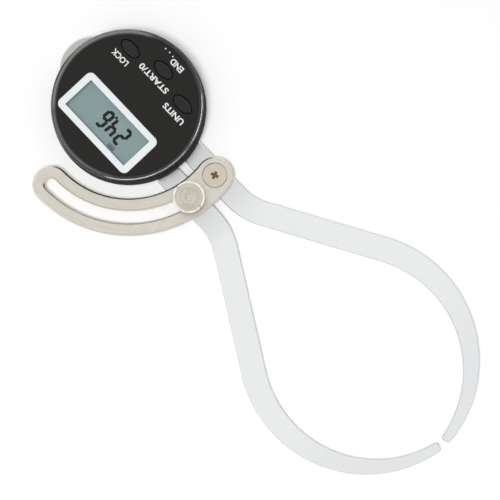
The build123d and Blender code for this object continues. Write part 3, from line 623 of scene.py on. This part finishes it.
class Workshop:
    """Turns meshes into finished pieces that ride on a body."""

    CAPITAL_SHARE = 0.7
    BOLDNESS = 0.034
    WELD_DISTANCE = 0.001 * MM

    def __init__(self, palette: Palette) -> None:
        """Keeps the palette with the materials of the gauge."""
        self.palette = palette

    def finish_piece(self, name: str, mesh: bmesh.types.BMesh, finish: str, slot: str, body: Body) -> None:
        """Writes a bmesh to an object, dresses it and lets it ride.

        Args:
            name: The piece's name.
            mesh: The finished bmesh, which is freed.
            finish: The name of its material.
            slot: A record's slot for the piece, which is not used.
            body: The body it rides on.
        """
        bmesh.ops.remove_doubles(mesh, verts=mesh.verts, dist=self.WELD_DISTANCE)
        bmesh.ops.recalc_face_normals(mesh, faces=mesh.faces)
        piece = mesh_object(name, mesh)
        piece.data.materials.append(self.palette.materials[finish])
        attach(piece, body.value)
        LOG.info("made %s on %s", name, body.value)

    def lettering(self, words: str, size: Point, place: Matrix, depth: float) -> bmesh.types.BMesh:
        """Makes a line of plain bold letters as a mesh, fitted to its length and height.

        Args:
            words: The letters.
            size: Length of the line and height of its letters, in metres.
            place: Where the middle of the line lies, and which way it reads.
            depth: How far the letters stand up, in metres.

        Returns:
            The letters as a bmesh in their place.
        """
        curve = bpy.data.curves.new("letters", "FONT")
        curve.body = words
        curve.size = size[1] / self.CAPITAL_SHARE
        curve.offset = size[1] * self.BOLDNESS
        curve.extrude = depth / 2
        curve.resolution_u = 4
        carrier = new_object("letters", curve)
        bpy.context.view_layer.update()
        data = bpy.data.meshes.new_from_object(carrier)
        mesh = bmesh.new()
        mesh.from_mesh(data)
        bpy.data.objects.remove(carrier)
        bpy.data.curves.remove(curve)
        bpy.data.meshes.remove(data)
        low = Vector([min(vert.co[axis] for vert in mesh.verts) for axis in range(3)])
        high = Vector([max(vert.co[axis] for vert in mesh.verts) for axis in range(3)])
        fit = Matrix.Diagonal((size[0] / (high.x - low.x), size[1] / (high.y - low.y), 1.0, 1.0))
        centre = Matrix.Translation(-(low + high) / 2)
        bmesh.ops.transform(mesh, matrix=place @ fit @ centre, verts=mesh.verts)
        return mesh


@dataclass
class Display:
    """The reading on the liquid crystal panel and its small unit mark."""

    workshop: Workshop
    reading: str = "24.6"
    panel_level: float = 12.8 * MM
    ink_depth: float = 0.03 * MM
    digit_height: float = 6.9 * MM
    digit_width: float = 2.6 * MM
    stroke: float = 1.25 * MM
    shoulder_share: float = 0.3
    dot_share: float = 0.45
    gap: float = 0.05 * MM
    pitch: float = 4.75 * MM
    lean: float = 0.073
    middle: Point = (-9.75 * MM, -2.95 * MM)
    unit_place: Point = (-15.36 * MM, -7.52 * MM)
    unit_size: Point = (3.1 * MM, 1.7 * MM)

    SEGMENTS = {
        "0": "abcdef", "1": "bc", "2": "abged", "3": "abgcd", "4": "fgbc",
        "5": "afgcd", "6": "afgedc", "7": "abc", "8": "abcdefg", "9": "abcdfg",
    }

    def build(self) -> None:
        """Builds the digits, the point and the unit mark."""
        level = self.panel_level + self.ink_depth / 2
        mesh = bmesh.new()
        digits = self.reading.replace(".", "")
        start = -(len(digits) - 1) / 2
        for index, digit in enumerate(digits):
            self._digit(mesh, digit, (start + index) * self.pitch)
        point_after = self.reading.index(".") - 1
        self._dot(mesh, (start + point_after + 0.5) * self.pitch)
        bmesh.ops.transform(mesh, matrix=text_place(self.middle, level), verts=mesh.verts)
        self.workshop.finish_piece("display_digits", mesh, "segment_ink", "resin_black", Body.HEAD)
        unit = self.workshop.lettering("mm", self.unit_size, text_place(self.unit_place, level),
                                       self.ink_depth)
        self.workshop.finish_piece("display_unit", unit, "faded_ink", "resin_black", Body.HEAD)

    def _digit(self, mesh: bmesh.types.BMesh, digit: str, x: float) -> None:
        """Adds one digit of seven leaning segments.

        Args:
            mesh: The bmesh that the digit joins.
            digit: The figure from 0 to 9.
            x: The digit's middle along the line.
        """
        half_width, half_height = self.digit_width / 2, self.digit_height / 2
        bars = {
            "a": ((-half_width, half_height), (half_width, half_height)),
            "b": ((half_width, half_height), (half_width, 0.0)),
            "c": ((half_width, 0.0), (half_width, -half_height)),
            "d": ((-half_width, -half_height), (half_width, -half_height)),
            "e": ((-half_width, 0.0), (-half_width, -half_height)),
            "f": ((-half_width, half_height), (-half_width, 0.0)),
            "g": ((-half_width, 0.0), (half_width, 0.0)),
        }
        for letter in self.SEGMENTS[digit]:
            start, end = bars[letter]
            self._bar(mesh, Vector(start), Vector(end), x)

    def _bar(self, mesh: bmesh.types.BMesh, start: Vector, end: Vector, x: float) -> None:
        """Adds one pointed segment between two corners of a digit.

        Args:
            mesh: The bmesh that the segment joins.
            start: First end of the segment's centre line.
            end: Its other end.
            x: The digit's middle along the line.
        """
        run = (end - start).normalized()
        side = Vector((-run.y, run.x)) * self.stroke / 2
        first, last = start + run * self.gap, end - run * self.gap
        shoulder = run * self.stroke * self.shoulder_share
        outline = (first, first + shoulder + side, last - shoulder + side, last, last - shoulder - side,
                   first + shoulder - side)
        corners = [mesh.verts.new((p.x + p.y * self.lean + x, p.y, -self.ink_depth / 2)) for p in outline]
        self._raise(mesh, mesh.faces.new(corners))

    def _dot(self, mesh: bmesh.types.BMesh, x: float) -> None:
        """Adds the decimal point at the foot of the line.

        Args:
            mesh: The bmesh that the point joins.
            x: The point's place along the line.
        """
        foot = -self.digit_height / 2
        place = Matrix.Translation((x + foot * self.lean, foot, -self.ink_depth / 2))
        made = bmesh.ops.create_circle(mesh, cap_ends=True, segments=16, radius=self.stroke * self.dot_share,
                                       matrix=place)
        self._raise(mesh, made["verts"][0].link_faces[0])

    def _raise(self, mesh: bmesh.types.BMesh, face: bmesh.types.BMFace) -> None:
        """Extrudes a flat face to the depth of the ink.

        Args:
            mesh: The bmesh that the face is in.
            face: The face at the foot of the ink.
        """
        grown = bmesh.ops.extrude_face_region(mesh, geom=[face], use_keep_orig=True)
        tops = [v for v in grown["geom"] if isinstance(v, bmesh.types.BMVert)]
        bmesh.ops.translate(mesh, vec=(0.0, 0.0, self.ink_depth), verts=tops)


@dataclass
class Legends:
    """The plain words printed beside the buttons, and three dots along the rim."""

    workshop: Workshop
    face_level: float = 14.0 * MM
    depth: float = 0.02 * MM
    capital: float = 2.4 * MM
    dot_radius: float = 0.28 * MM

    WORDS = (
        ("legend_lock", "LOCK", 7.9 * MM, (10.5 * MM, 15.1 * MM)),
        ("legend_start", "START/0", 14.9 * MM, (14.3 * MM, 0.3 * MM)),
        ("legend_end", "END", 6.0 * MM, (24.0 * MM, -2.2 * MM)),
        ("legend_units", "UNITS", 10.2 * MM, (10.4 * MM, -14.8 * MM)),
    )
    DOTS = ((25.3 * MM, 1.4 * MM), (25.5 * MM, 3.4 * MM), (25.4 * MM, 5.5 * MM))

    def build(self) -> None:
        """Builds the words and the dots."""
        level = self.face_level + self.depth / 2
        for name, words, length, middle in self.WORDS:
            letters = self.workshop.lettering(words, (length, self.capital), text_place(middle, level),
                                              self.depth)
            self.workshop.finish_piece(name, letters, "legend_ink", "frame_white", Body.HEAD)
        mesh = bmesh.new()
        for dot in self.DOTS:
            bmesh.ops.create_cone(mesh, cap_ends=True, segments=20, radius1=self.dot_radius,
                                  radius2=self.dot_radius, depth=self.depth,
                                  matrix=Matrix.Translation((*dot, level)))
        self.workshop.finish_piece("legend_dots", mesh, "legend_ink", "frame_white", Body.HEAD)


@dataclass
class PhotoCamera:
    """The photograph's camera: high above the gauge, almost square to it."""

    place: Place = (-21.393 * MM, -111.777 * MM, 615.948 * MM)
    right: Place = (0.7274605, -0.6857400, -0.0237039)
    down: Place = (-0.6855431, -0.7249317, -0.0671175)
    lens: float = 115.2
    sensor: float = 36.0
    nearest: float = 0.01
    farthest: float = 20.0

    def build(self) -> None:
        """Makes the camera and sets it as the scene's."""
        data = bpy.data.cameras.new("photo_camera")
        data.lens = self.lens
        data.sensor_width = self.sensor
        data.clip_start = self.nearest
        data.clip_end = self.farthest
        camera = new_object("photo_camera", data)
        right = Vector(self.right).normalized()
        up = -Vector(self.down).normalized()
        turn = Matrix((right, up, right.cross(up))).transposed()
        camera.matrix_world = Matrix.Translation(self.place) @ turn.to_4x4()
        bpy.context.scene.camera = camera


@dataclass(frozen=True)
class Lamp:
    """A soft rectangular lamp. Its place is an offset along the photograph's right and up and the frame's Z.

    A lamp with a mirror lights nothing: it is a card that shows only in the gloss of that node.
    """

    name: str
    place: Place
    size: Point
    power: float
    mirror: str | None


@dataclass
class Studio:
    """A pale floor, a white room, a soft key lamp and cards that the shell mirrors."""

    camera: PhotoCamera
    target: Place = (0.0, -60.0 * MM, 5.0 * MM)
    floor_size: float = 6.0
    floor_drop: float = 0.02 * MM
    floor_tones: Point = (0.90, 0.91)
    mottle_scale: float = 14.0
    mottle_range: Point = (0.3, 0.7)
    floor_roughness: float = 0.9
    floor_glow: float = 0.10
    room_light: float = 0.48
    horizon_tone: float = 0.7
    horizon_heights: Point = (0.06, 0.45)

    LAMPS = (
        Lamp("key_lamp", (-0.095, -0.115, 0.83), (0.22, 0.22), 4.1, None),
        Lamp("right_card", (0.66, 0.02, 0.61), (0.55, 0.36), 20.0, "front_shell"),
        Lamp("corner_card", (0.43, -0.51, 0.61), (0.40, 0.36), 8.0, "front_shell"),
        Lamp("front_card", (-0.06, -0.66, 0.61), (0.60, 0.36), 22.0, "front_shell"),
        Lamp("left_card", (-0.85, 0.05, 0.30), (0.70, 0.60), 6.5, "front_shell"),
        Lamp("back_card", (-0.35, 0.78, 0.30), (0.70, 0.60), 6.5, "front_shell"),
        Lamp("inner_card", (0.15, 0.42, 0.75), (0.50, 0.25), 1.0, "front_shell"),
        Lamp("slope_card", (0.19, -0.20, 0.80), (0.80, 0.80), 8.5, "front_shell"),
    )

    def build(self) -> None:
        """Builds the floor, the world and the lamps."""
        self._floor()
        self._world()
        for lamp in self.LAMPS:
            self._hang(lamp)
        bpy.context.scene.view_settings.view_transform = "Standard"

    def _floor(self) -> None:
        """Makes the floor, which shows white, keeps the gauge's shadow and is clear from below."""
        mesh = bmesh.new()
        bmesh.ops.create_grid(mesh, x_segments=8, y_segments=8, size=self.floor_size / 2)
        floor = mesh_object("studio_floor", mesh)
        floor.location.z = -self.floor_drop
        floor.data.materials.append(self._floor_material())

    def _floor_material(self) -> bpy.types.Material:
        """Builds the floor's material: pale and matt, with a glow where it is seen or mirrored.

        Returns:
            The material.
        """
        made = bpy.data.materials.new("floor_white")
        made.use_nodes = True
        sheet = NodeSheet(made.node_tree)
        place = sheet.add("TexCoord").outputs["Object"]
        mottle = sheet.noise(place, self.mottle_scale, roughness=Effects.GRAIN_ROUGHNESS)
        pale = sheet.remap(mottle, *self.mottle_range, *self.floor_tones)
        grey = sheet.feed(sheet.add("CombineColor"), pale, pale, pale).outputs[0]
        shader = sheet.fill(made.node_tree.nodes["Principled BSDF"], {
            "Base Color": grey, "Roughness": self.floor_roughness, "Specular IOR Level": 0.0})
        seen = self._seen(sheet, sheet.add("LightPath").outputs)
        glow = sheet.fill(sheet.add("Emission"), {"Strength": sheet.maths("MULTIPLY", seen, self.floor_glow)})
        both = sheet.feed(sheet.add("AddShader"), shader.outputs[0], glow.outputs[0])
        below = sheet.add("NewGeometry").outputs["Backfacing"]
        clear = sheet.add("BsdfTransparent")
        sides = sheet.feed(sheet.add("MixShader"), below, both.outputs[0], clear.outputs[0])
        sheet.fill(made.node_tree.nodes["Material Output"], {"Surface": sides.outputs[0]})
        return made

    def _seen(self, sheet: NodeSheet, path: bpy.types.bpy_prop_collection) -> bpy.types.NodeSocket:
        """Adds the mask of the rays by which a thing is seen: straight, in gloss or through glass."""
        beyond = sheet.maths("MAXIMUM", path["Is Glossy Ray"], path["Is Transmission Ray"])
        return sheet.maths("MAXIMUM", path["Is Camera Ray"], beyond)

    def _world(self) -> None:
        """Makes the room: white where it is seen, dimmer low down in gloss, and softer where it lights."""
        world = bpy.data.worlds.new("white_room")
        world.use_nodes = True
        bpy.context.scene.world = world
        sheet = NodeSheet(world.node_tree)
        path = sheet.add("LightPath").outputs
        plain = sheet.remap(self._seen(sheet, path), 0.0, 1.0, self.room_light, 1.0)
        height = sheet.split(sheet.add("TexCoord").outputs["Generated"])[2]
        dusk = sheet.remap(height, *self.horizon_heights, 1.0 - self.horizon_tone, 0.0)
        left = sheet.maths("SUBTRACT", 1.0, sheet.maths("MULTIPLY", dusk, path["Is Glossy Ray"]))
        sheet.fill(world.node_tree.nodes["Background"], {
            "Color": (1.0, 1.0, 1.0), "Strength": sheet.maths("MULTIPLY", plain, left)})

    def _hang(self, lamp: Lamp) -> None:
        """Hangs a lamp and points it at the gauge.

        Args:
            lamp: The lamp's place, size and power.
        """
        data = bpy.data.lights.new(lamp.name, "AREA")
        data.shape = "RECTANGLE"
        data.size, data.size_y = lamp.size
        data.energy = lamp.power
        hung = new_object(lamp.name, data)
        hung.visible_diffuse = lamp.mirror is None
        hung.visible_glossy = lamp.mirror is not None
        if lamp.mirror:
            mirrors = bpy.data.collections.new(lamp.name + "_mirrors")
            mirrors.objects.link(frame["nodes"][lamp.mirror])
            hung.light_linking.receiver_collection = mirrors
        right, up = Vector(self.camera.right), -Vector(self.camera.down)
        offset = right * lamp.place[0] + up * lamp.place[1] + Vector((0.0, 0.0, lamp.place[2]))
        hung.location = Vector(self.target) + offset
        hung.rotation_euler = (-offset).to_track_quat("-Z", "Y").to_euler()


def main() -> None:
    """Builds the look of the gauge in order and reports each piece."""
    logging.basicConfig(level=logging.INFO, format="%(name)s: %(message)s")
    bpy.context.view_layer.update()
    effects = Effects()
    palette = Palette(effects)
    palette.dress_nodes()
    workshop = Workshop(palette)
    Display(workshop).build()
    Legends(workshop).build()
    camera = PhotoCamera()
    camera.build()
    Studio(camera).build()


if __name__ == "__main__":
    main()
